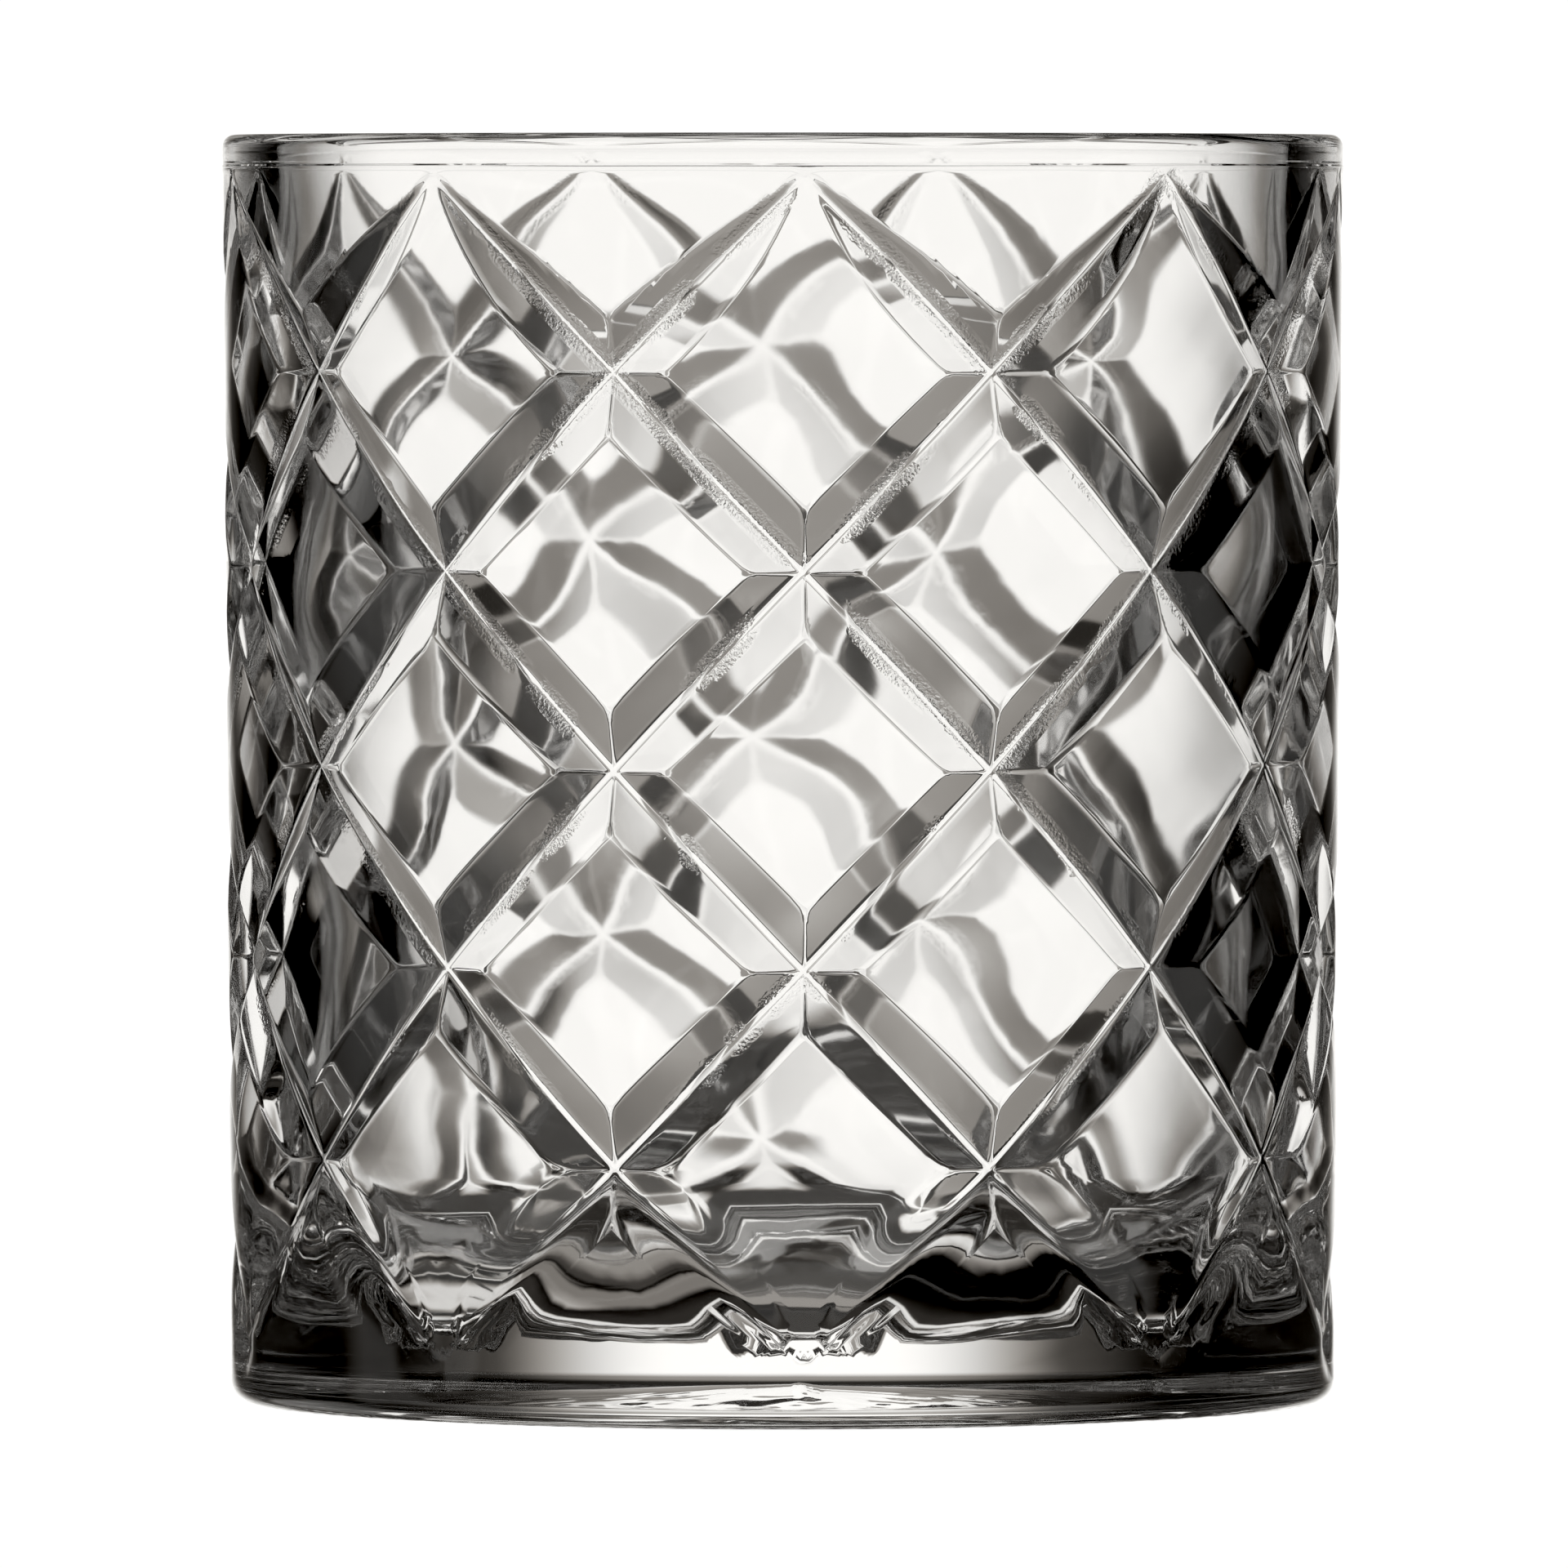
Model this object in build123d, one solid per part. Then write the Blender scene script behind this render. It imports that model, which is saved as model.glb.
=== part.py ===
from build123d import *
import os
from math import cos, radians, sin, sqrt, tan

# Clear pressed-glass tumbler, one piece of glass, in millimetres.
# Origin: centre of the base, on the plane that the glass stands on. +Z is up, the front is -Y.

# Body --------------------------------------------------------------------------------------------
height = 95.1                # standing plane to the rim's top
rim_radius = 42.0            # outside, at the rim
base_radius = 41.35          # outside, at the standing plane: the mould's draft
mouth_radius = 38.0          # inside, at the rim
cavity_draft = 2.25          # degrees, inside wall
floor_height = 6.4           # glass under the drink, at the edge of the cavity's floor
floor_dish = 0.85            # how far the middle of that floor lies below its edge
floor_fillet = 12.5          # inside corner between the wall and the floor

rim_outer_fillet = 0.9
rim_inner_fillet = 1.0
heel_fillet = 1.6
foot_radius = 37.2           # outer edge of the flat ring that the glass stands on
foot_ring_width = 5.0
foot_step = 0.2              # how far that ring stands proud of the heel
underside_rise = 2.3         # hollow of the underside, at its middle

mould_line_height = 92.7     # the thin raised line that the mould's ring leaves under the rim
mould_line_width = 0.5
mould_line_proud = 0.06

# Diamond pattern: two families of V grooves at 45 degrees, one leaning each way ------------------
diamonds_round = 9
first_crossing_azimuth = 2.2     # degrees from the front towards +X
top_crossing_height = 92.1       # where two grooves meet as they fade out under the rim
half_cell_height = 14.6          # one row of crossings to the next
last_row = 6                     # crossings below the top one; this last one lies in the fade-out
fade_foot_height = 5.7           # where the grooves have faded out above the base
groove_depth = 1.4
groove_slope = 24.0              # degrees, groove wall from the glass surface
points_per_edge = 7
top_table_middle = 0.35          # rows below the top crossings: a point well inside the half tables there
foot_table_middle = -0.3         # rows from the last crossings, likewise

# Pattern positions are counted in half cells: across (azimuth) and down from the top crossing.
half_cell_angle = 180.0 / diamonds_round
fade_foot_row = (top_crossing_height - fade_foot_height) / half_cell_height
cut_back = last_row - fade_foot_row
wall_share = groove_depth / tan(radians(groove_slope)) / (sqrt(2) * half_cell_height)


def outside_radius(z):
    """Radius of the plain outside, before the pattern is cut."""
    return base_radius + (rim_radius - base_radius) * z / height


def on_glass(across, down, depth=0.0):
    """The point at a pattern position on the outside, or the given depth below it."""
    azimuth = radians(first_crossing_azimuth - 90 + across * half_cell_angle)
    z = top_crossing_height - down * half_cell_height
    radius = outside_radius(z) - depth
    return Vector(radius * cos(azimuth), radius * sin(azimuth), z)


def curve_through(place):
    """A smooth edge through place(0) ... place(1)."""
    return Edge.make_spline([place(i / (points_per_edge - 1)) for i in range(points_per_edge)])


def is_full(row):
    """Whether the grooves have their full depth at a row of crossings."""
    return 0 < row < last_row


def groove_wall(across, row, side, down):
    """Wall along one side of a diamond, and the edge of its table: side and down are -1 or 1."""
    full_corner = is_full(row)
    full_tip = is_full(row + down)
    first = cut_back if row == last_row else 0
    last = 1 - cut_back if row + down == last_row else 1

    def share_of_depth(share):
        if full_corner and full_tip:
            return 1
        from_end = 1 - share if full_corner else share
        return 1 - (1 - from_end) ** 2

    def place(run, inset, depth):
        return on_glass(across + side * (1 - run - inset), row + down * (run - inset), depth)

    def on_bottom(share):
        return place(first + share * (last - first), 0, groove_depth * share_of_depth(share))

    def on_table_edge(share):
        start = first + wall_share * full_corner
        end = last - wall_share * full_tip
        return place(start + share * (end - start), wall_share * share_of_depth(share), 0)

    bottom = curve_through(on_bottom)
    table_edge = curve_through(on_table_edge)
    if full_corner and full_tip:
        wall = Face.make_surface_from_curves(bottom, table_edge)
    else:
        full_end = 0 if full_corner else 1
        mitre = Edge.make_line(bottom @ full_end, table_edge @ full_end)
        wall = Face.make_surface([bottom, mitre, table_edge])
    return wall, table_edge


def closing_arc(across, row):
    """Level edge that ends a table where the pattern stops, or None in the middle of the glass."""
    half_width = {0: 1, last_row - 1: cut_back, last_row: 1 - cut_back}.get(row)
    if half_width is None:
        return None
    level = 0 if row == 0 else fade_foot_row
    ends = [on_glass(across + half_width * place, level) for place in (-1, 0, 1)]
    return Edge.make_three_point_arc(*ends)


def diamond(across, row):
    """The raised table of one diamond and the groove walls round it."""
    outline = []
    walls = []
    for down in (-1, 1):
        for side in (-1, 1):
            if 0 <= row + down <= last_row:
                wall, table_edge = groove_wall(across, row, side, down)
                walls.append(wall)
                outline.append(table_edge)
    arc = closing_arc(across, row)
    if arc is not None:
        outline.append(arc)
    middle = on_glass(across, row + {0: top_table_middle, last_row: foot_table_middle}.get(row, 0))
    table = Face.make_surface(Wire(outline).order_edges(), [middle])
    return [*walls, table]


def pattern_faces():
    """All the diamonds: one turn of the pattern, repeated round the glass."""
    one_turn = [face for row in range(last_row + 1) for face in diamond(1 - row % 2, row)]
    turn = 2 * half_cell_angle
    return [Rot(0, 0, turn * index) * face for index in range(diamonds_round) for face in one_turn]


def rim_and_cavity():
    """Turned faces from the top of the pattern over the rim to the middle of the floor."""
    z = top_crossing_height
    line = mould_line_height
    half_line = mould_line_width / 2
    wall_foot = mouth_radius - (height - floor_height) * tan(radians(cavity_draft))
    points = [
        (outside_radius(z), 0, z),
        (outside_radius(line - half_line), 0, line - half_line),
        (outside_radius(line) + mould_line_proud, 0, line),
        (outside_radius(line + half_line), 0, line + half_line),
        (rim_radius, 0, height),
        (mouth_radius, 0, height),
        (wall_foot, 0, floor_height),
        (0, 0, floor_height - floor_dish),
    ]
    radii = [0, 0, 0, rim_outer_fillet, rim_inner_fillet, floor_fillet]
    return Shell.revolve(FilletPolyline(*points, radius=radii), 360, Axis.Z).faces()


def heel_and_underside():
    """Turned faces from the foot of the pattern round the heel to the middle of the underside."""
    z = fade_foot_height
    ring_inner_radius = foot_radius - foot_ring_width
    points = [
        (outside_radius(z), 0, z),
        (outside_radius(foot_step), 0, foot_step),
        (foot_radius + foot_step, 0, foot_step),
        (foot_radius, 0, 0),
        (ring_inner_radius, 0, 0),
        (0, 0, underside_rise),
    ]
    radii = [heel_fillet, 0, 0, 0]
    return Shell.revolve(FilletPolyline(*points, radius=radii), 360, Axis.Z).faces()


skin = [*pattern_faces(), *rim_and_cavity(), *heel_and_underside()]
glass_tumbler = Solid(Shell(skin))

os.makedirs("parts", exist_ok=True)
export_step(glass_tumbler, "parts/glass_tumbler.step")
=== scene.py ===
import math

import bpy
import numpy as np
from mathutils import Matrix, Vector


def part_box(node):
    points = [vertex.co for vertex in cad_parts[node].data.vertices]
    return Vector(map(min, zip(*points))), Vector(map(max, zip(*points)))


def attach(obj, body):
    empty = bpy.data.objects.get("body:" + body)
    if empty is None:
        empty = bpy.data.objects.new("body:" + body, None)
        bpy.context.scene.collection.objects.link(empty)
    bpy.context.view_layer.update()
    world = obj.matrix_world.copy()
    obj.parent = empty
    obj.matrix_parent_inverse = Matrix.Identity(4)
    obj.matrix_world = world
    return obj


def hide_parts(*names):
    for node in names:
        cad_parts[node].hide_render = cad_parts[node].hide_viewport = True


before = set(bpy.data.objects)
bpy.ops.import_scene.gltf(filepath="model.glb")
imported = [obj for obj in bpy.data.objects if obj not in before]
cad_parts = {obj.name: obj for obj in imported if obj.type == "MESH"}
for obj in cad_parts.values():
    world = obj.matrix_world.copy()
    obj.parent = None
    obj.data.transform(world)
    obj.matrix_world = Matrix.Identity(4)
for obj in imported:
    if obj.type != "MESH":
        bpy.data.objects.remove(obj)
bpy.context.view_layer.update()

# A clear pressed-glass tumbler. Metres, +Z up, front at -Y, origin at the centre of the base.
# The glass is worked out in millimetres, and build_tumbler() turns its mesh into metres.

MM = 0.001
low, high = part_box("glass_tumbler")

# ---- The glass's driving dimensions, in millimetres -----------------------------------------------
HEIGHT = (high.z - low.z) / MM
RIM_RADIUS = 42.0
BASE_RADIUS = 41.35
MOUTH_RADIUS = 38.0
CAVITY_DRAFT = math.radians(2.25)
FLOOR_HEIGHT = 6.4
FLOOR_DISH = 0.85
FLOOR_FILLET = 12.5
RIM_OUTER_FILLET = 0.9
RIM_INNER_FILLET = 1.0
HEEL_FILLET = 1.6
FOOT_RADIUS = 37.2
FOOT_RING_WIDTH = 5.0
RING_INSIDE = FOOT_RADIUS - FOOT_RING_WIDTH
RING_INNER_FILLET = 2.0
FOOT_STEP = 0.2
FOOT_STEP_FILLET = 0.2            # both corners of that step
UNDERSIDE_RISE = 2.3
MOULD_LINE_HEIGHT = 92.7
MOULD_LINE_ABOVE = 0.15           # from the line's crest up to the plain band
MOULD_LINE_PROUD = 0.05
MOULD_LINE_FILLET = 0.1
OUTLINE_STEP = 2.0                # mesh rings along straight stretches of the outline
ARC_STEP = math.radians(11)       # and round its arcs,
ARC_LEAST_STEPS = 4               # which have at least this many steps

# ---- Diamond pattern ------------------------------------------------------------------------------
DIAMONDS_ROUND = 9
FIRST_CROSSING_AZIMUTH = 2.2
TOP_CROSSING_HEIGHT = 92.1
HALF_CELL_HEIGHT = 14.6
LAST_ROW = 6
FADE_FOOT_HEIGHT = 5.7           # the grooves have faded out here
TOP_FADE_POWER = 2               # how roundly they come in under the rim
FOOT_FADE_POWER = 4              # and go out above the base
GROOVE_DEPTH = 1.4
GROOVE_SLOPE = math.tan(math.radians(24.0))
GROOVE_FOOT_ROUNDING = 0.45
TABLE_EDGE_ROUNDING = 0.13
TABLE_CROWN = 0.049              # tables stand this much proud in the middle, and fall away from it
TABLE_FALL_ABOVE = 0.1           # over half a cell up or down
TABLE_FALL_ASIDE = 0.3           # over half a cell round the glass
MITRE_ROUNDING = 0.05            # of the crease between two crossing grooves' walls, low down
CORNER_ROUNDING = 0.4            # and where it meets a table's corner
CORNER_POWER = 4                 # the higher, the nearer to the corner it grows rounder
MELTED_FROM_ROW = 4.85           # below this row all creases grow softer
MELTED_ROUNDING = 7.0            # by this much over one row
MELTED_GROOVES = 0.5             # and the grooves' bottoms by this much

RIDGE_COLUMNS = 3                # mesh columns from one ridge under the foot to the next
RIDGE_SLANT = 0.12               # ridges that a line along the radius crosses, per millimetre
RIDGE_SLOPE = 0.08
RIDGES_FAINT = 0.06              # how much of them is left inside the foot ring
RIDGES_PAST_RING = 1.0           # full ridges reach this far in past the ring
RIDGES_INSIDE_EDGE = 0.1         # they are clear of the ring's outer edge by this much inside it
RIDGES_OUTSIDE_EDGE = 0.4        # and by this much outside it
RIDGES_UP_HEEL = 0.5             # and they end at this share of the heel's fillet
RIDGES_FADE = 0.8                # at each of these edges they fade over this distance
AXIS_FADE = 12.0                 # inside this radius the underside's ridges and waves fade out

# ---- Finish -----------------------------------------------------------------------------------------
WHITE = (1, 1, 1, 1)
GLASS_IOR = 1.52
OUTSIDE_ROUGHNESS = 0.02
CAVITY_ROUGHNESS = 0.05
FROST_ROUGHNESS = 0.12
FROST_REACH = 0.5                # crinkled glass lies this far to the side of a groove's bottom
FROST_LAST_ROW = 5.2             # it ends here,
FROST_FADE_ROWS = 1.5            # after growing weaker over this many rows
FROST_PATCH_SIZE = 7 * MM
FROST_PATCH_DETAIL = 5
FROST_PATCH_NOISE = (0.47, 0.54)       # noise at a patch's edge, and where it is full
FROST_ROUGH_SHARE = (0.2, 0.8)         # share of frost where the roughness begins, and where it is full
CRINKLE_SIZE = 0.22 * MM
CRINKLE_HEIGHT = 0.03 * MM
CRINKLE_DETAIL = 1
CRINKLE_SHARE = (0.1, 0.5)             # the same for the crinkles
MOTTLE_SIZE = 5 * MM
MOTTLE_DETAIL = 1
MOTTLE_NOISE = (0.3, 0.7)
MOTTLE_ROUGHNESS = (0.6, 1.4)          # times the roughness, at those two noise values

HALF_CELL_ANGLE = math.pi / DIAMONDS_ROUND
HALF_CELLS_ROUND = 2 * DIAMONDS_ROUND
FADE_FOOT_ROW = (TOP_CROSSING_HEIGHT - FADE_FOOT_HEIGHT) / HALF_CELL_HEIGHT
HALF_PERIOD = HALF_CELL_HEIGHT / math.sqrt(2)      # groove to the middle of a table, square on

# Distances from a groove's bottom at which the mesh has a line, close where the shape turns. The mesh lines
# run along the grooves, and it has COLUMNS points round the glass.
GRID_STEPS = np.array([0, .11, .23, .38, .75, 1.15, 1.55, 1.95, 2.3, 2.6, 2.82, 3.0, 3.14, 3.3, 3.6, 4.7,
                       6.3, 8.3, HALF_PERIOD]) / HALF_PERIOD
STEPS = len(GRID_STEPS) - 1
COLUMNS = HALF_CELLS_ROUND * STEPS
EVENING_RINGS = 6                # above and below the pattern the columns even out over this many rings
NORMAL_STEP = 0.002              # in half cells: how far apart slopes are taken

# ---- Unevenness of the pressed glass ----------------------------------------------------------------
ECHO_HEIGHT = 0.04               # how far the cavity stands in behind crossings, and out behind diamonds
FOOT_ECHO_HEIGHT = 0.2           # the same from one row below FOOT_ECHO_ROW
FOOT_ECHO_ROW = 4.6
CAVITY_FROM_RIM = 12.0           # the cavity's unevenness and bloom come in over this depth below the rim
CAVITY_TO_AXIS = 14.0            # and go out inside this radius
RING_FADE = 4.0                  # the underside's waves come in over this distance from the foot ring

# Each kind of wave: seed, slope, shortest and longest crest to crest along the outline, crests round.
WAVE_COUNT = 14
CAVITY_WAVES = (7, 0.024, (11.0, 34.0), 14)
UNDERSIDE_WAVES = (3, 0.03, (3.5, 12.0), 40)
OUTSIDE_WAVES = (11, 0.012, (6.0, 18.0), 26)


def outside_radius(z):
    return BASE_RADIUS + (RIM_RADIUS - BASE_RADIUS) * z / HEIGHT


def soft_distance(distance, rounding):
    """Distance from a line, rounded off at the line itself."""
    size = np.abs(distance)
    return np.where(size < rounding, size * size / (2 * rounding) + rounding / 2, size)


def soft_min(first, second, rounding):
    """The lower of two heights, with the crease between them rounded off."""
    blend = np.clip(rounding - np.abs(first - second), 0, None) / rounding
    return np.minimum(first, second) - blend * blend * rounding / 4


def full_depth_at(row):
    """Depth of the grooves at a row: they come in over the first row, and go out from LAST_ROW - 1 on."""
    top_run = np.clip(row, 0, 1)
    foot_run = np.clip((FADE_FOOT_ROW - row) / (FADE_FOOT_ROW - LAST_ROW + 1), 0, 1)
    top_share = 1 - (1 - top_run) ** TOP_FADE_POWER
    bottom_share = 1 - (1 - foot_run) ** FOOT_FADE_POWER
    return GROOVE_DEPTH * np.minimum(top_share, bottom_share)


def relief(across, row):
    """Height of the cut surface against the plain outside. Only the tables' crowns stand above it."""
    depth = full_depth_at(row)
    below = np.clip(row - MELTED_FROM_ROW, 0, 1)
    melted = 1 + MELTED_ROUNDING * below
    groove_rounding = GROOVE_FOOT_ROUNDING * (1 + MELTED_GROOVES * below)
    walls = []
    for line in (across + row, across - row):
        distance = (line - 2 * np.round(line / 2)) * HALF_PERIOD
        walls.append(soft_distance(distance, groove_rounding) * GROOVE_SLOPE - depth)
    near_table = np.clip(1 + np.minimum(walls[0], walls[1]) / GROOVE_DEPTH, 0, 1) ** CORNER_POWER
    mitre = MITRE_ROUNDING + (CORNER_ROUNDING - MITRE_ROUNDING) * near_table
    cut = soft_min(walls[0], walls[1], mitre * melted)
    table = table_height(across, row) * depth / GROOVE_DEPTH
    return soft_min(cut, table, TABLE_EDGE_ROUNDING * melted)


def table_height(across, row):
    """Tables are slightly crowned: they fall away from their middles."""
    falling = 2 * np.floor((across + row) / 2) + 1
    climbing = 2 * np.floor((across - row) / 2) + 1
    aside = across - (falling + climbing) / 2
    above = row - (falling - climbing) / 2
    return TABLE_CROWN - TABLE_FALL_ASIDE * aside ** 2 - TABLE_FALL_ABOVE * above ** 2


def waves(across, run, seed, slope, lengths, crests_round):
    """Random waves: height, slope round the glass (at the mouth's radius) and slope along the outline."""
    chance = np.random.default_rng(seed)
    height = slope_round = slope_along = 0
    for _ in range(WAVE_COUNT):
        turns = chance.integers(-crests_round, crests_round + 1)
        round_rate = turns / MOUTH_RADIUS
        along_rate = 2 * math.pi / chance.uniform(*lengths)
        size = slope * math.sqrt(2 / WAVE_COUNT) / math.hypot(round_rate, along_rate)
        phase = turns * HALF_CELL_ANGLE * across + along_rate * run + chance.uniform(0, 2 * math.pi)
        height = height + size * np.sin(phase)
        slope_round = slope_round + size * round_rate * np.cos(phase)
        slope_along = slope_along + size * along_rate * np.cos(phase)
    return height, slope_round, slope_along


def on_glass(across, row):
    """Points of the patterned outside, in millimetres, from their pattern positions."""
    azimuth = np.radians(FIRST_CROSSING_AZIMUTH - 90) + across * HALF_CELL_ANGLE
    z = TOP_CROSSING_HEIGHT - row * HALF_CELL_HEIGHT
    waviness = waves(across, row * HALF_CELL_HEIGHT, *OUTSIDE_WAVES)[0]
    radius = outside_radius(z) + relief(across, row) + waviness * full_depth_at(row) / GROOVE_DEPTH
    return np.stack([radius * np.cos(azimuth), radius * np.sin(azimuth), z], axis=-1)


def glass_normals(across, row):
    """Outward normals of the patterned outside, from its slope at each point."""
    along = on_glass(across + NORMAL_STEP, row) - on_glass(across - NORMAL_STEP, row)
    up = on_glass(across, row - NORMAL_STEP) - on_glass(across, row + NORMAL_STEP)
    normal = np.cross(along, up)
    return normal / np.linalg.norm(normal, axis=-1, keepdims=True)


def line_position(index):
    """Pattern position of a mesh line: two half cells from each groove to the next one."""
    turn, rest = np.divmod(index, 2 * STEPS)
    near = GRID_STEPS[np.minimum(rest, 2 * STEPS - rest)]
    return 2 * turn + np.where(rest <= STEPS, near, 2 - near)


def pattern_mesh():
    """Points, normals and triangles of the diamond band, on mesh lines that follow the grooves."""
    rows = LAST_ROW * 2 * STEPS
    level, column = np.meshgrid(np.arange(rows + 1), np.arange(COLUMNS), indexing="ij")
    falling, climbing = line_position(column + level), line_position(column)
    across, row = (falling + climbing) / 2, (falling - climbing) / 2

    def number(at_level, at_column):
        return at_level * COLUMNS + at_column % COLUMNS

    # Quads between two neighbouring lines of each family, cut along the nearest mitre.
    centre_level, centre = np.meshgrid(np.arange(1, rows), np.arange(COLUMNS), indexing="ij")
    left, right = number(centre_level, centre), number(centre_level, centre + 1)
    over, under = number(centre_level - 1, centre + 1), number(centre_level + 1, centre)
    falling_mid = (line_position(centre + centre_level) + line_position(centre + centre_level + 1)) / 2
    climbing_mid = (line_position(centre) + line_position(centre + 1)) / 2
    falling_off = falling_mid - 2 * np.round(falling_mid / 2)
    climbing_off = climbing_mid - 2 * np.round(climbing_mid / 2)
    level_cut = (falling_off * climbing_off > 0)[..., None]
    first = np.where(level_cut, np.stack([left, right, over], -1), np.stack([left, under, over], -1))
    second = np.where(level_cut, np.stack([left, under, right], -1), np.stack([under, right, over], -1))
    edge = np.arange(COLUMNS)
    top = np.stack([number(0, edge), number(1, edge), number(0, edge + 1)], -1)
    foot = np.stack([number(rows, edge), number(rows, edge + 1), number(rows - 1, edge + 1)], -1)
    triangles = np.concatenate([first.reshape(-1, 3), second.reshape(-1, 3), top, foot])
    points = on_glass(across, row).reshape(-1, 3)
    normals = glass_normals(across, row).reshape(-1, 3)
    return points, normals, triangles, across, row


def rounded_outline(corners, radii):
    """Points and normals along a turned outline whose corners are rounded by arcs.

    The normals point to the right of its course when radius is drawn to the right and height upwards.
    """
    corners = [np.array(corner, float) for corner in corners]
    stretches = []
    start = corners[0]
    for index in range(1, len(corners) - 1):
        before, corner, after = corners[index - 1], corners[index], corners[index + 1]
        radius = radii[index - 1]
        into = (corner - before) / np.linalg.norm(corner - before)
        out = (after - corner) / np.linalg.norm(after - corner)
        turn = math.atan2(into[0] * out[1] - into[1] * out[0], into @ out)
        reach = radius * math.tan(abs(turn) / 2)
        stretches.append(("run", start, corner - into * reach))
        side = np.array([-into[1], into[0]]) * math.copysign(1, turn)
        stretches.append(("arc", corner - into * reach + side * radius, side, turn, radius))
        start = corner + out * reach
    stretches.append(("run", start, corners[-1]))
    points, normals = [], []
    for stretch in stretches:
        if stretch[0] == "run":
            run = stretch[2] - stretch[1]
            length = np.linalg.norm(run)
            count = max(1, round(length / OUTLINE_STEP))
            share = np.linspace(0, 1, count + 1)[:, None]
            points.extend(stretch[1] + share * run)
            normals.extend(np.tile([run[1], -run[0]] / length, (count + 1, 1)))
        else:
            _, centre, side, turn, radius = stretch
            count = max(ARC_LEAST_STEPS, round(abs(turn) / ARC_STEP))
            for angle in np.linspace(0, turn, count + 1)[1:-1]:
                cosine, sine = math.cos(angle), math.sin(angle)
                outward = np.array([[cosine, -sine], [sine, cosine]]) @ -side
                points.append(centre + outward * radius)
                normals.append(outward * math.copysign(1, turn))
    return np.array(points), np.array(normals)


def upper_outline():
    """From the top of the pattern over the rim and down the cavity to the middle of its floor."""
    wall_foot = MOUTH_RADIUS - (HEIGHT - FLOOR_HEIGHT) * math.tan(CAVITY_DRAFT)
    line, line_top = MOULD_LINE_HEIGHT, MOULD_LINE_HEIGHT + MOULD_LINE_ABOVE
    corners = [
        (outside_radius(TOP_CROSSING_HEIGHT), TOP_CROSSING_HEIGHT),
        (outside_radius(line) + MOULD_LINE_PROUD, line),
        (outside_radius(line_top), line_top),
        (RIM_RADIUS, HEIGHT),
        (MOUTH_RADIUS, HEIGHT),
        (wall_foot, FLOOR_HEIGHT),
        (0, FLOOR_HEIGHT - FLOOR_DISH),
    ]
    line_fillets = [MOULD_LINE_FILLET, MOULD_LINE_FILLET]
    return rounded_outline(corners, line_fillets + [RIM_OUTER_FILLET, RIM_INNER_FILLET, FLOOR_FILLET])


def cavity_share(outline):
    """0 outside and over the rim, 1 down the cavity's wall and floor, and 0 again at the very middle."""
    radius, z = outline[:, 0], outline[:, 1]
    below_rim = np.clip((HEIGHT - RIM_INNER_FILLET - z) / CAVITY_FROM_RIM, 0, 1)
    off_axis = np.clip(radius / CAVITY_TO_AXIS, 0, 1)
    return np.where(radius < MOUTH_RADIUS, below_rim * off_axis, 0)


def lower_outline():
    """From the foot of the pattern round the heel and over the foot ring to the underside's middle."""
    start = TOP_CROSSING_HEIGHT - LAST_ROW * HALF_CELL_HEIGHT
    corners = [
        (outside_radius(start), start),
        (outside_radius(FOOT_STEP), FOOT_STEP),
        (FOOT_RADIUS + FOOT_STEP, FOOT_STEP),
        (FOOT_RADIUS, 0),
        (RING_INSIDE, 0),
        (0, UNDERSIDE_RISE),
    ]
    return rounded_outline(corners, [HEEL_FILLET, FOOT_STEP_FILLET, FOOT_STEP_FILLET, RING_INNER_FILLET])


def cavity_unevenness(across, row, run, row_rate):
    """The cavity's wall follows the diamonds faintly, with waves over that: what waves() gives."""
    arc = MOUTH_RADIUS * HALF_CELL_ANGLE
    echo = ECHO_HEIGHT + (FOOT_ECHO_HEIGHT - ECHO_HEIGHT) * min(max(row - FOOT_ECHO_ROW, 0), 1)
    height = echo * np.cos(math.pi * across) * math.cos(math.pi * row)
    slope_round = -echo * math.pi / arc * np.sin(math.pi * across) * math.cos(math.pi * row)
    slope_along = -echo * math.pi * row_rate * np.cos(math.pi * across) * math.sin(math.pi * row)
    echoes = (height, slope_round, slope_along)
    return [echo_part + wave for echo_part, wave in zip(echoes, waves(across, run, *CAVITY_WAVES))]


def foot_ridges(column, radius):
    """Fine slanting ridges under the foot: height, slope round the glass, slope along the radius."""
    pitch = RIDGE_COLUMNS * 2 * math.pi * FOOT_RADIUS / COLUMNS
    phase = 2 * math.pi * (column / RIDGE_COLUMNS + radius * RIDGE_SLANT)
    height = RIDGE_SLOPE * pitch / (2 * math.pi) * np.sin(phase)
    return height, RIDGE_SLOPE * np.cos(phase), RIDGE_SLOPE * pitch * RIDGE_SLANT * np.cos(phase)


def foot_share(outline):
    """Strength of the foot's ridges: 1 from the heel in past the ring, faint further in, 0 elsewhere."""
    radius, z = outline[:, 0], outline[:, 1]
    faint = np.clip(radius / AXIS_FADE, 0, 1) * RIDGES_FAINT
    under_ring = np.where(radius < RING_INSIDE - RIDGES_PAST_RING, faint, 1)
    inside_edge = np.clip((FOOT_RADIUS - RIDGES_INSIDE_EDGE - radius) / RIDGES_FADE, 0, 1)
    outside_edge = np.clip((radius - FOOT_RADIUS - RIDGES_OUTSIDE_EDGE) / RIDGES_FADE, 0, 1)
    heel = np.clip((BASE_RADIUS - HEEL_FILLET * RIDGES_UP_HEEL - radius) / RIDGES_FADE, 0, 1)
    return np.where(z < HEEL_FILLET, under_ring * (inside_edge + outside_edge) * heel, 0)


def underside_waves(across, run, radius):
    """Waves of the hollow underside, none at the foot ring and at the axis."""
    fade = min(radius / AXIS_FADE, 1) * min((RING_INSIDE - radius) / RING_FADE, 1)
    return [part * fade for part in waves(across, run, *UNDERSIDE_WAVES)]


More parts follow.
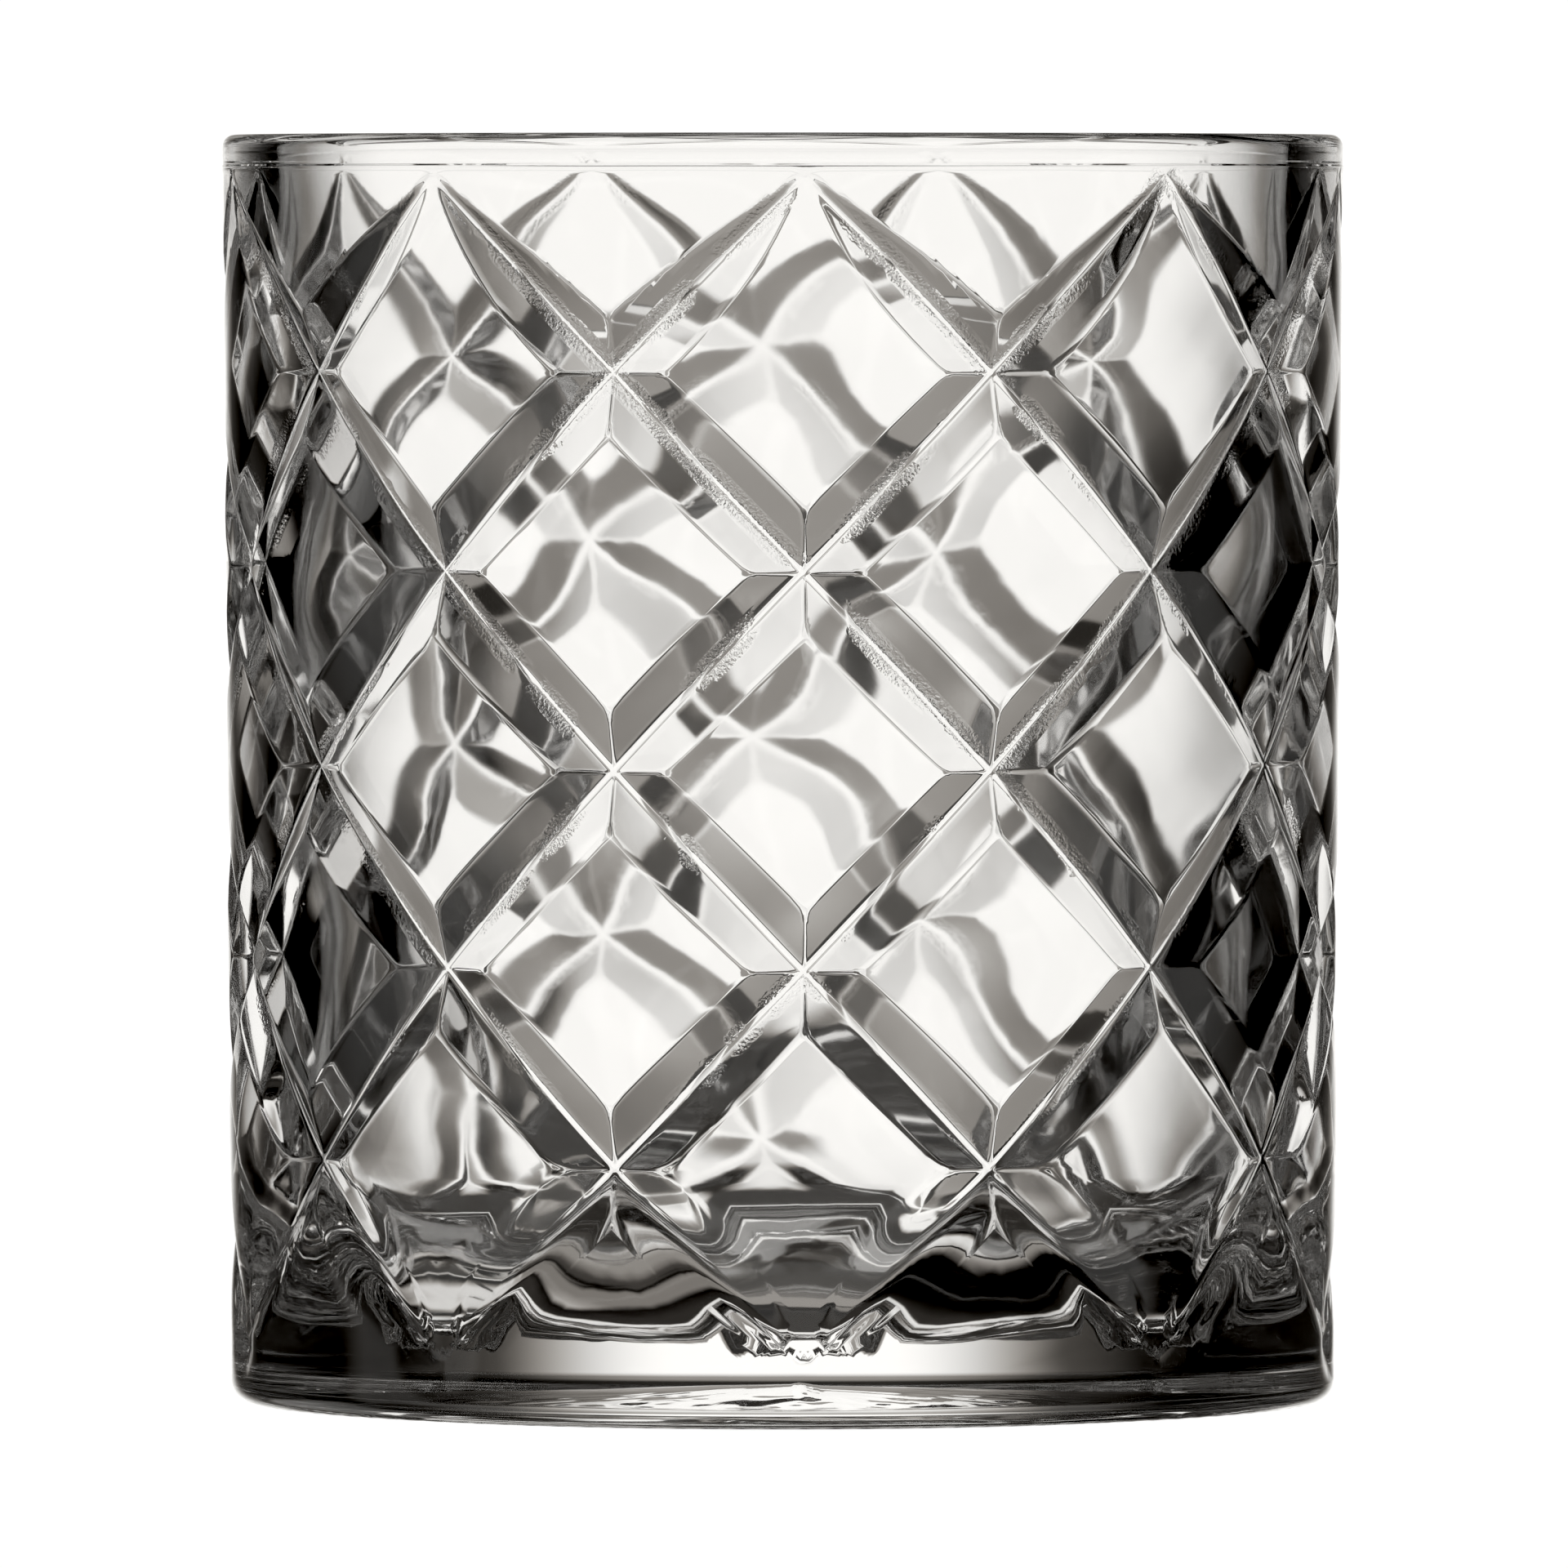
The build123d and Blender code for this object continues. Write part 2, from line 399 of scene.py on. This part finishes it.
def turned_mesh(outline, normals, uneven_share, edge_across, upward):
    """Rings of a turned surface that starts at a row of the pattern and ends at the axis."""
    even = np.arange(COLUMNS) / STEPS + edge_across[0]
    lengths = np.linalg.norm(np.diff(outline, axis=0), axis=1)
    run = np.concatenate([[0], np.cumsum(lengths)])
    rings = len(outline) - 1
    rows = (TOP_CROSSING_HEIGHT - outline[:, 1]) / HALF_CELL_HEIGHT
    row_rates = normals[:, 0] * upward / -HALF_CELL_HEIGHT
    points, ring_normals = [], []
    for ring in range(1, rings):
        share = min(1.0, ring / EVENING_RINGS)
        across = edge_across * (1 - share) + even * share
        # The rim and the cavity make do with every other column.
        if ring > 1 and upward > 0:
            across = across[::2]
        azimuth = math.radians(FIRST_CROSSING_AZIMUTH - 90) + across * HALF_CELL_ANGLE
        if upward > 0:
            unevenness = cavity_unevenness(across, rows[ring], run[ring], row_rates[ring])
        else:
            unevenness = foot_ridges(np.arange(len(across)), outline[ring][0])
        unevenness = [part * uneven_share[ring] for part in unevenness]
        if upward < 0 and outline[ring][0] < RING_INSIDE:
            hollow = underside_waves(across, run[ring], outline[ring][0])
            unevenness = [part + wave for part, wave in zip(unevenness, hollow)]
        height, slope_round, slope_along = unevenness
        outward, rise = normals[ring] * upward
        radius = outline[ring][0] + height * outward
        z = outline[ring][1] + height * rise
        # Known fault: in the cavity and on the foot's ridges the lean is against the surface's own slope.
        turn_back = -slope_round
        lean = -slope_along
        out, up = outward + lean * rise, rise - lean * outward
        ring_normals.append(np.stack([out * np.cos(azimuth) - turn_back * np.sin(azimuth),
                                      out * np.sin(azimuth) + turn_back * np.cos(azimuth), up], -1))
        points.append(np.stack([radius * np.cos(azimuth), radius * np.sin(azimuth), z], -1))
    points.append(np.array([[0, 0, outline[-1][1]]]))
    ring_normals.append(np.array([[0, 0, normals[-1][1] * upward]]))
    return points, ring_normals


def ring_triangles(first_row, second_row, outward):
    """Triangles between two rings of point numbers, where the second has as many points or half as many."""
    after = np.roll(second_row, -1)
    if len(first_row) == len(second_row):
        beside = np.roll(first_row, -1)
        corners = [[first_row, beside, after], [first_row, after, second_row]]
    else:
        even, odd = first_row[::2], first_row[1::2]
        corners = [[even, odd, second_row], [odd, np.roll(even, -1), after], [odd, after, second_row]]
    triangles = np.concatenate([np.stack(corner, -1) for corner in corners])
    return triangles if outward else triangles[:, ::-1]


def cap_triangles(row, centre, outward):
    """Fan from the last ring to the point on the axis."""
    fan = np.stack([row, np.roll(row, -1), np.full(len(row), centre)], -1)
    return fan if outward else fan[:, ::-1]


def groove_share(across, row):
    """1 a little to the side of a groove's bottom; 0 at its bottom, up its walls and near the base."""
    lines = np.stack([across + row, across - row])
    distance = np.abs(lines - 2 * np.round(lines / 2)).min(axis=0) * HALF_PERIOD
    beside = np.clip(1 - np.abs(distance / FROST_REACH - 1), 0, 1)
    return beside * np.clip((FROST_LAST_ROW - row) / FROST_FADE_ROWS, 0, 1)


def tumbler_mesh():
    """One closed surface: diamond band, rim, cavity, floor, heel, foot ring and underside."""
    points, normals, triangles, across, row = pattern_mesh()
    groove = [groove_share(across, row).ravel()]
    cavity = [np.zeros(len(points))]
    all_points, all_normals, all_triangles = [points], [normals], [triangles]
    count = len(points)
    upper, lower = upper_outline(), lower_outline()
    top_row, foot_row = np.arange(COLUMNS), np.arange(count - COLUMNS, count)
    for outline, uneven_share, edge_row, edge_across, upward in (
            (upper, cavity_share(upper[0]), top_row, across[0], 1),
            (lower, foot_share(lower[0]), foot_row, across[-1], -1)):
        in_cavity = uneven_share if upward > 0 else np.zeros(len(uneven_share))
        ring_points, ring_normals = turned_mesh(*outline, uneven_share, edge_across, upward)
        previous = edge_row
        for share, ring in zip(in_cavity[1:], ring_points):
            numbers = count + np.arange(len(ring))
            if len(ring) > 1:
                all_triangles.append(ring_triangles(previous, numbers, upward > 0))
            else:
                all_triangles.append(cap_triangles(previous, count, upward > 0))
            groove.append(np.zeros(len(ring)))
            cavity.append(np.full(len(ring), share))
            previous = numbers
            count += len(ring)
        all_points += ring_points
        all_normals += ring_normals
    shares = {"groove": np.concatenate(groove), "cavity": np.concatenate(cavity)}
    return np.concatenate(all_points), np.concatenate(all_normals), np.concatenate(all_triangles), shares


def glass_material(name, crinkled):
    """Clear pressed glass with a soft bloom inside the cavity, and if crinkled, with crinkles in patches."""
    material = bpy.data.materials.new(name)
    material.use_nodes = True
    nodes, links = material.node_tree.nodes, material.node_tree.links
    shader = nodes["Principled BSDF"]
    shader.inputs["Base Color"].default_value = WHITE
    shader.inputs["IOR"].default_value = GLASS_IOR
    shader.inputs["Transmission Weight"].default_value = 1.0
    place = nodes.new("ShaderNodeTexCoord").outputs["Object"]

    def noise(feature_size, detail):
        node = nodes.new("ShaderNodeTexNoise")
        node.inputs["Scale"].default_value = 1 / feature_size
        node.inputs["Detail"].default_value = detail
        links.new(place, node.inputs["Vector"])
        return node.outputs["Fac"]

    def remap(value, from_range, to_range):
        node = nodes.new("ShaderNodeMapRange")
        links.new(value, node.inputs["Value"])
        for side, start, end in (("From", *from_range), ("To", *to_range)):
            node.inputs[f"{side} Min"].default_value = start
            node.inputs[f"{side} Max"].default_value = end
        return node.outputs["Result"]

    def combine(operation, first, second):
        node = nodes.new("ShaderNodeMath")
        node.operation = operation
        links.new(first, node.inputs[0])
        links.new(second, node.inputs[1])
        return node.outputs[0]

    def painted(attribute):
        node = nodes.new("ShaderNodeAttribute")
        node.attribute_name = attribute
        return node.outputs["Fac"]

    mottle = remap(noise(MOTTLE_SIZE, MOTTLE_DETAIL), MOTTLE_NOISE, MOTTLE_ROUGHNESS)
    plain = remap(painted("cavity"), (0, 1), (OUTSIDE_ROUGHNESS, CAVITY_ROUGHNESS))
    rough = combine("MULTIPLY", plain, mottle)
    if crinkled:
        patches = remap(noise(FROST_PATCH_SIZE, FROST_PATCH_DETAIL), FROST_PATCH_NOISE, (0, 1))
        frost = combine("MULTIPLY", painted("groove"), patches)
        rough = combine("MAXIMUM", rough, remap(frost, FROST_ROUGH_SHARE, (0, FROST_ROUGHNESS)))
        bump = nodes.new("ShaderNodeBump")
        bump.inputs["Distance"].default_value = CRINKLE_HEIGHT
        crinkle_share = remap(frost, CRINKLE_SHARE, (0, 1))
        crinkles = combine("MULTIPLY", noise(CRINKLE_SIZE, CRINKLE_DETAIL), crinkle_share)
        links.new(crinkles, bump.inputs["Height"])
        links.new(bump.outputs["Normal"], shader.inputs["Normal"])
    links.new(rough, shader.inputs["Roughness"])
    return material


def build_tumbler():
    """The glass as one object. Faces beside the grooves have the crinkled material."""
    points, normals, triangles, shares = tumbler_mesh()
    mesh = bpy.data.meshes.new("tumbler_glass")
    mesh.from_pydata((points * MM).tolist(), [], triangles.tolist())
    mesh.materials.append(glass_material("clear_glass", False))
    mesh.materials.append(glass_material("crinkled_glass", True))
    beside_groove = shares["groove"][triangles].max(axis=1) > 0
    mesh.polygons.foreach_set("material_index", beside_groove.astype(np.int32))
    mesh.polygons.foreach_set("use_smooth", np.ones(len(mesh.polygons), bool))
    mesh.normals_split_custom_set_from_vertices(normals.tolist())
    for name, share in shares.items():
        mesh.attributes.new(name, "FLOAT", "POINT").data.foreach_set("value", share.astype(np.float32))
    tumbler = bpy.data.objects.new("tumbler_glass", mesh)
    bpy.context.scene.collection.objects.link(tumbler)
    return tumbler


# ---- Studio ---------------------------------------------------------------------------------------
CAMERA_DISTANCE = 1.617
CAMERA_HEIGHT = 0.0889
AIM = Vector((0.0001, 0, 0.0464))
LENS = 495.0                     # millimetres
BLACK_LEVEL = 0.010              # light below this prints as black
MOST_BOUNCES = 32
GLOSSY_BOUNCES = 16

TABLE_TOP_RADIUS = 1.2
TABLE_TOP_CORNERS = 96
TABLE_TOP_DROP = 0.0002          # below the glass, so that the two don't touch
TABLE_TOP_COLOUR = (0.9, 0.9, 0.9, 1)
TABLE_TOP_ROUGHNESS = 0.9
TABLE_TOP_GLOW = 1.0

# The light that the glass sees. Azimuths count from straight behind the glass, positive to the right, and
# elevations from the horizon, all in degrees. A fade: from, to, and the light before and after it.
AMBIENT_LIGHT = 0.004
PANEL_ASIDE = (7, 22.5, 1.0, 0)             # behind the glass
PANEL_SPILL_ASIDE = (12, 36, 0.11, 0)
PANEL_FADES = ((-1, 7, 1, 0.29), (9, 18, 1, 0.08), (-25, -19, 0.03, 1), (-16, -4, 0.88, 1))
ROOM_ASIDE = (85, 120, 0, 0.06)             # all round the front
ROOM_UP = (10, 26, 1, 0.2)
STEEP_DOWN = (-58, -38, 0.3, 1)             # both table tops are dimmer close to the glass
FRONT_TABLE_ASIDE = (88, 112, 0, 0.75)
FRONT_TABLE_UP = (-13, -8, 1, 0)
LEFT_TABLE_AZIMUTH = -47                    # behind to the left
LEFT_TABLE_ASIDE = (15, 27, 0.68, 0)
LEFT_TABLE_UP = (-23, -18, 1, 0)
SIDE_PANEL_AZIMUTH = -90                    # straight to the left
SIDE_PANEL_ASIDE = (6, 16, 0.5, 0)
SIDE_PANEL_FADES = ((1, 9, 1, 0.15), (-24, -14, 0.1, 1))
TINT_LIGHT = (0.05, 0.8, 0, 1)              # a fade over the light itself, from the dim tint to the bright
DIM_TINT = (1.0, 0.925, 0.835, 1)
BRIGHT_TINT = (1.0, 0.985, 0.955, 1)


def build_camera():
    camera_data = bpy.data.cameras.new("camera")
    camera_data.lens = LENS
    camera = bpy.data.objects.new("camera", camera_data)
    camera.location = (AIM.x, -CAMERA_DISTANCE, CAMERA_HEIGHT)
    camera.rotation_mode = "QUATERNION"
    camera.rotation_quaternion = (AIM - camera.location).to_track_quat("-Z", "Y")
    bpy.context.scene.collection.objects.link(camera)
    bpy.context.scene.camera = camera


def build_world():
    """White to the camera. To the glass: a soft panel behind it and one at its left, bright table tops in
    front of it and behind to the left, and a dim room in front. All else is nearly dark."""
    world = bpy.data.worlds.new("studio")
    bpy.context.scene.world = world
    world.use_nodes = True
    nodes, links = world.node_tree.nodes, world.node_tree.links
    nodes.clear()

    def math_node(operation, *values):
        node = nodes.new("ShaderNodeMath")
        node.operation = operation
        for socket, value in zip(node.inputs, values):
            if isinstance(value, (int, float)):
                socket.default_value = value
            else:
                links.new(value, socket)
        return node.outputs[0]

    def fade(value, start, end, start_light, end_light):
        node = nodes.new("ShaderNodeMapRange")
        node.interpolation_type = "SMOOTHSTEP"
        links.new(value, node.inputs["Value"])
        for socket, number in (("From Min", start), ("From Max", end), ("To Min", start_light),
                               ("To Max", end_light)):
            node.inputs[socket].default_value = number
        return node.outputs["Result"]

    def product(first, *others):
        for other in others:
            first = math_node("MULTIPLY", first, other)
        return first

    def away_from(middle):
        return math_node("ABSOLUTE", math_node("SUBTRACT", azimuth, middle))

    def mix(factor, first, second):
        node = nodes.new("ShaderNodeMix")
        node.data_type = "RGBA"
        links.new(factor, node.inputs["Factor"])
        for socket, colour in (("A", first), ("B", second)):
            if isinstance(colour, tuple):
                node.inputs[socket].default_value = colour
            else:
                links.new(colour, node.inputs[socket])
        return node.outputs["Result"]

    direction = nodes.new("ShaderNodeTexCoord").outputs["Generated"]
    split = nodes.new("ShaderNodeSeparateXYZ")
    links.new(direction, split.inputs[0])
    azimuth = math_node("DEGREES", math_node("ARCTAN2", split.outputs["X"], split.outputs["Y"]))
    aside = math_node("ABSOLUTE", azimuth)
    elevation = math_node("DEGREES", math_node("ARCSINE", split.outputs["Z"]))
    panel_wide = math_node("ADD", fade(aside, *PANEL_ASIDE), fade(aside, *PANEL_SPILL_ASIDE))
    panel = product(panel_wide, *[fade(elevation, *edge) for edge in PANEL_FADES])
    room = product(fade(aside, *ROOM_ASIDE), fade(elevation, *ROOM_UP))
    steep = fade(elevation, *STEEP_DOWN)
    front_table = product(fade(aside, *FRONT_TABLE_ASIDE), fade(elevation, *FRONT_TABLE_UP), steep)
    left_aside = fade(away_from(LEFT_TABLE_AZIMUTH), *LEFT_TABLE_ASIDE)
    left_table = product(left_aside, fade(elevation, *LEFT_TABLE_UP), steep)
    side_aside = fade(away_from(SIDE_PANEL_AZIMUTH), *SIDE_PANEL_ASIDE)
    side_panel = product(side_aside, *[fade(elevation, *edge) for edge in SIDE_PANEL_FADES])
    light = math_node("ADD", panel, AMBIENT_LIGHT)
    for part in (room, front_table, left_table, side_panel):
        light = math_node("ADD", light, part)
    camera_ray = nodes.new("ShaderNodeLightPath").outputs["Is Camera Ray"]
    tint = mix(fade(light, *TINT_LIGHT), DIM_TINT, BRIGHT_TINT)
    seen = mix(camera_ray, tint, WHITE)
    background = nodes.new("ShaderNodeBackground")
    links.new(seen, background.inputs["Color"])
    links.new(math_node("MAXIMUM", light, camera_ray), background.inputs["Strength"])
    output = nodes.new("ShaderNodeOutputWorld")
    links.new(background.outputs[0], output.inputs["Surface"])


def build_floor():
    """Round pale table top, bright enough to meet the white backdrop without an edge. The glass doesn't
    see it: build_world() has the table tops that the glass sees."""
    bpy.ops.mesh.primitive_circle_add(vertices=TABLE_TOP_CORNERS, radius=TABLE_TOP_RADIUS, fill_type="NGON")
    floor = bpy.context.object
    floor.name = "floor"
    material = bpy.data.materials.new("pale_floor")
    material.use_nodes = True
    shader = material.node_tree.nodes["Principled BSDF"]
    shader.inputs["Base Color"].default_value = TABLE_TOP_COLOUR
    shader.inputs["Roughness"].default_value = TABLE_TOP_ROUGHNESS
    shader.inputs["Emission Color"].default_value = WHITE
    shader.inputs["Emission Strength"].default_value = TABLE_TOP_GLOW
    floor.data.materials.append(material)
    floor.location = (0, 0, low.z - TABLE_TOP_DROP)
    floor.visible_transmission = False
    floor.visible_glossy = False


def set_light_paths():
    """Enough refractions for light to pass two walls and the thick base."""
    cycles = bpy.context.scene.cycles
    cycles.max_bounces = MOST_BOUNCES
    cycles.transmission_bounces = MOST_BOUNCES
    cycles.glossy_bounces = GLOSSY_BOUNCES


def set_view():
    """Plain colours, with the faintest light printed as black."""
    view = bpy.context.scene.view_settings
    view.view_transform = "Standard"
    view.use_curve_mapping = True
    view.curve_mapping.black_level = [BLACK_LEVEL] * 3


build_camera()
build_world()
build_floor()
set_light_paths()
set_view()

tumbler = build_tumbler()
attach(tumbler, "root")
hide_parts("glass_tumbler")
